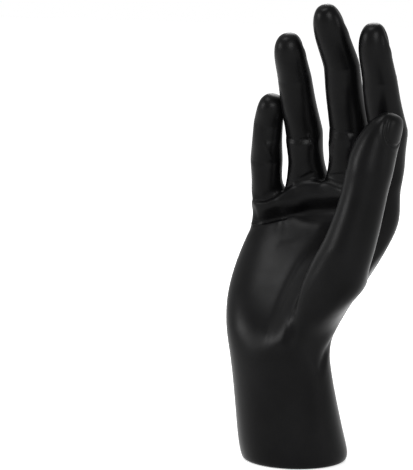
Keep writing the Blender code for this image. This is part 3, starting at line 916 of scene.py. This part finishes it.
# %% The finish
satin = bpy.data.materials.new("satin_black_resin")
satin.use_nodes = True
nodes, links = satin.node_tree.nodes, satin.node_tree.links
shader = nodes["Principled BSDF"]
coordinates = nodes.new("ShaderNodeTexCoord")


def noise(scale, detail, roughness=0.5):
    """A cloud pattern on the object's own coordinates."""
    node = nodes.new("ShaderNodeTexNoise")
    node.inputs["Scale"].default_value = scale
    node.inputs["Detail"].default_value = detail
    node.inputs["Roughness"].default_value = roughness
    links.new(coordinates.outputs["Object"], node.inputs["Vector"])
    return node.outputs["Fac"]


def ranged(value, low, high, to_low, to_high):
    """The value between low and high, stretched to the new range and held there."""
    node = nodes.new("ShaderNodeMapRange")
    node.clamp = True
    for name, number in zip(
        ("From Min", "From Max", "To Min", "To Max"), (low, high, to_low, to_high)
    ):
        node.inputs[name].default_value = number
    links.new(value, node.inputs["Value"])
    return node.outputs["Result"]


def joined(operation, first, second):
    """Two values joined by a sum or a product."""
    node = nodes.new("ShaderNodeMath")
    node.operation = operation
    for socket, value in zip(node.inputs, (first, second)):
        if isinstance(value, (int, float)):
            socket.default_value = value
        else:
            links.new(value, socket)
    return node.outputs["Value"]


attribute = nodes.new("ShaderNodeAttribute")
attribute.attribute_name = "worked"
sunk = ranged(attribute.outputs["Fac"], -0.9, -0.1, 1.0, 0.0)

colour = nodes.new("ShaderNodeMix")
colour.data_type = "RGBA"
colour.inputs["A"].default_value = (0.0012, 0.0012, 0.0013, 1)
colour.inputs["B"].default_value = (0.0028, 0.0028, 0.003, 1)
links.new(ranged(noise(45, 4), 0.35, 0.65, 0.0, 1.0), colour.inputs["Factor"])
links.new(colour.outputs["Result"], shader.inputs["Base Color"])

polish = ranged(noise(28, 3), 0.3, 0.7, 0.3, 0.34)
wiped = ranged(noise(160, 6, 0.65), 0.35, 0.75, 0.0, 0.05)
dull = joined("MULTIPLY", sunk, 0.08)
links.new(joined("ADD", joined("ADD", polish, wiped), dull), shader.inputs["Roughness"])

grain = nodes.new("ShaderNodeBump")
grain.inputs["Strength"].default_value = 0.12
grain.inputs["Distance"].default_value = 0.0002
links.new(noise(900, 3, 0.6), grain.inputs["Height"])
swirl = nodes.new("ShaderNodeBump")
swirl.inputs["Strength"].default_value = 0.1
swirl.inputs["Distance"].default_value = 0.001
links.new(noise(70, 2), swirl.inputs["Height"])
links.new(grain.outputs["Normal"], swirl.inputs["Normal"])
links.new(swirl.outputs["Normal"], shader.inputs["Normal"])
shader.inputs["Specular IOR Level"].default_value = 0.062
hand.data.materials.clear()
hand.data.materials.append(satin)
print("finish:", satin.name, "with", len(nodes), "nodes")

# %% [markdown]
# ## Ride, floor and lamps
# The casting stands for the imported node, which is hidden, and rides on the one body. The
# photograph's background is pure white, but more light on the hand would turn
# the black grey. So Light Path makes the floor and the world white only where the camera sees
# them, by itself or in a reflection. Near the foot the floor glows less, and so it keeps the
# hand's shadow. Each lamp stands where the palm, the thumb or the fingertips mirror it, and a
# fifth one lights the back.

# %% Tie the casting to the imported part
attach(hand, "root")
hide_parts("display_hand")
print("rides on root")

# %% Floor and world
WHITE = 1.0
GLOW_AT_FOOT = 0.6
GLOW_RADIUS = (0.03, 0.35)
SKY_ON_HAND = 0.12


def seen(tree):
    """1 for the rays that carry a picture of the background: camera, glossy and transmission."""
    path = tree.nodes.new("ShaderNodeLightPath")
    value = path.outputs["Is Camera Ray"]
    for name in ("Is Glossy Ray", "Is Transmission Ray"):
        either = tree.nodes.new("ShaderNodeMath")
        either.operation = "MAXIMUM"
        tree.links.new(value, either.inputs[0])
        tree.links.new(path.outputs[name], either.inputs[1])
        value = either.outputs["Value"]
    return value


bpy.ops.object.select_all(action="DESELECT")
bpy.ops.mesh.primitive_plane_add(size=8, location=(0, 0, -0.0003))
floor = bpy.context.object
floor.name = "floor"
pale = bpy.data.materials.new("pale_floor")
pale.use_nodes = True
tree = pale.node_tree
floor_shader = tree.nodes["Principled BSDF"]
floor_shader.inputs["Base Color"].default_value = (0.82, 0.82, 0.82, 1)
floor_shader.inputs["Roughness"].default_value = 0.9
floor_shader.inputs["Specular IOR Level"].default_value = 0.1
floor_shader.inputs["Emission Color"].default_value = (1, 1, 1, 1)
place = tree.nodes.new("ShaderNodeTexCoord")
distance = tree.nodes.new("ShaderNodeVectorMath")
distance.operation = "LENGTH"
tree.links.new(place.outputs["Object"], distance.inputs[0])
fade = tree.nodes.new("ShaderNodeMapRange")
fade.interpolation_type = "SMOOTHSTEP"
fade.inputs["From Min"].default_value, fade.inputs["From Max"].default_value = GLOW_RADIUS
fade.inputs["To Min"].default_value = GLOW_AT_FOOT
fade.inputs["To Max"].default_value = WHITE
tree.links.new(distance.outputs["Value"], fade.inputs["Value"])
glow = tree.nodes.new("ShaderNodeMath")
glow.operation = "MULTIPLY"
tree.links.new(seen(tree), glow.inputs[0])
tree.links.new(fade.outputs["Result"], glow.inputs[1])
tree.links.new(glow.outputs["Value"], floor_shader.inputs["Emission Strength"])
floor.data.materials.append(pale)

world = bpy.data.worlds.new("studio")
bpy.context.scene.world = world
world.use_nodes = True
tree = world.node_tree
background = tree.nodes["Background"]
background.inputs["Color"].default_value = (1, 1, 1, 1)
sky = tree.nodes.new("ShaderNodeMapRange")
sky.inputs["To Min"].default_value = SKY_ON_HAND
sky.inputs["To Max"].default_value = WHITE
tree.links.new(seen(tree), sky.inputs["Value"])
tree.links.new(sky.outputs["Result"], background.inputs["Strength"])
print("floor and world ready")

# %% Lamps
AIM = Vector((0.005, 0.0, 0.12))
LAMP_DISTANCE = 1.1
LAMPS = (
    # name, azimuth, elevation, width and height in metres, watts; the palm mirrors the first,
    # the thumb the second and the fingertips the third
    ("high_softbox", -44, 63, 0.4, 0.4, 5.5),
    ("left_softbox", -54, 14, 0.32, 0.32, 5.2),
    ("front_softbox", 30, 23, 0.5, 0.5, 10),
    ("right_softbox", 90, 9, 0.3, 0.3, 2.5),
    ("back_softbox", 205, 38, 0.4, 0.4, 5),
)


def from_hand(azimuth, elevation, distance):
    """A place that far from the hand; azimuth 0 is in front of the palm, 90 beside the thumb."""
    a, e = math.radians(azimuth), math.radians(elevation)
    flat = math.cos(e) * distance
    return AIM + Vector((math.sin(a) * flat, -math.cos(a) * flat, math.sin(e) * distance))


def softbox(name, azimuth, elevation, width, height, watts):
    """A rectangular lamp that looks at the hand."""
    lamp = bpy.data.lights.new(name, "AREA")
    lamp.shape = "RECTANGLE"
    lamp.size, lamp.size_y = width, height
    lamp.energy = watts
    holder = bpy.data.objects.new(name, lamp)
    holder.location = from_hand(azimuth, elevation, LAMP_DISTANCE)
    way = AIM - holder.location
    holder.rotation_euler = way.to_track_quat("-Z", "Y").to_euler()
    bpy.context.scene.collection.objects.link(holder)
    return holder


for lamp in LAMPS:
    softbox(*lamp)
print(len(LAMPS), "softboxes")

# %% [markdown]
# ## Camera
# A product shot of this kind is taken with a long lens from about a metre, so that the hand
# isn't distorted. In the photograph the hand stands in the right half of the frame, so the
# camera looks past it to the left. That keeps the lens shift at zero.

# %% Camera
CAMERA_AZIMUTH = 28.0
CAMERA_ELEVATION = 8.0
CAMERA_DISTANCE = 1.05
CAMERA_LENS = 168.57
AIM_LEFT = -0.04236
AIM_DOWN = -0.0013
orbit_centre = Vector((0, 0, 0.11))
a, e = math.radians(CAMERA_AZIMUTH), math.radians(CAMERA_ELEVATION)
back = Vector((math.sin(a) * math.cos(e), -math.cos(a) * math.cos(e), math.sin(e)))
right = Vector((math.cos(a), math.sin(a), 0))
camera = bpy.data.cameras.new("camera")
camera.sensor_width = 36
camera.lens = CAMERA_LENS
camera.clip_start = 0.01
tripod = bpy.data.objects.new("camera", camera)
tripod.location = orbit_centre + back * CAMERA_DISTANCE
look_at = orbit_centre + right * AIM_LEFT + UP * AIM_DOWN
tripod.rotation_euler = (look_at - tripod.location).to_track_quat("-Z", "Y").to_euler()
bpy.context.scene.collection.objects.link(tripod)
bpy.context.scene.camera = tripod
bpy.context.scene.view_settings.view_transform = "Standard"
print("camera at", [round(v, 3) for v in tripod.location])
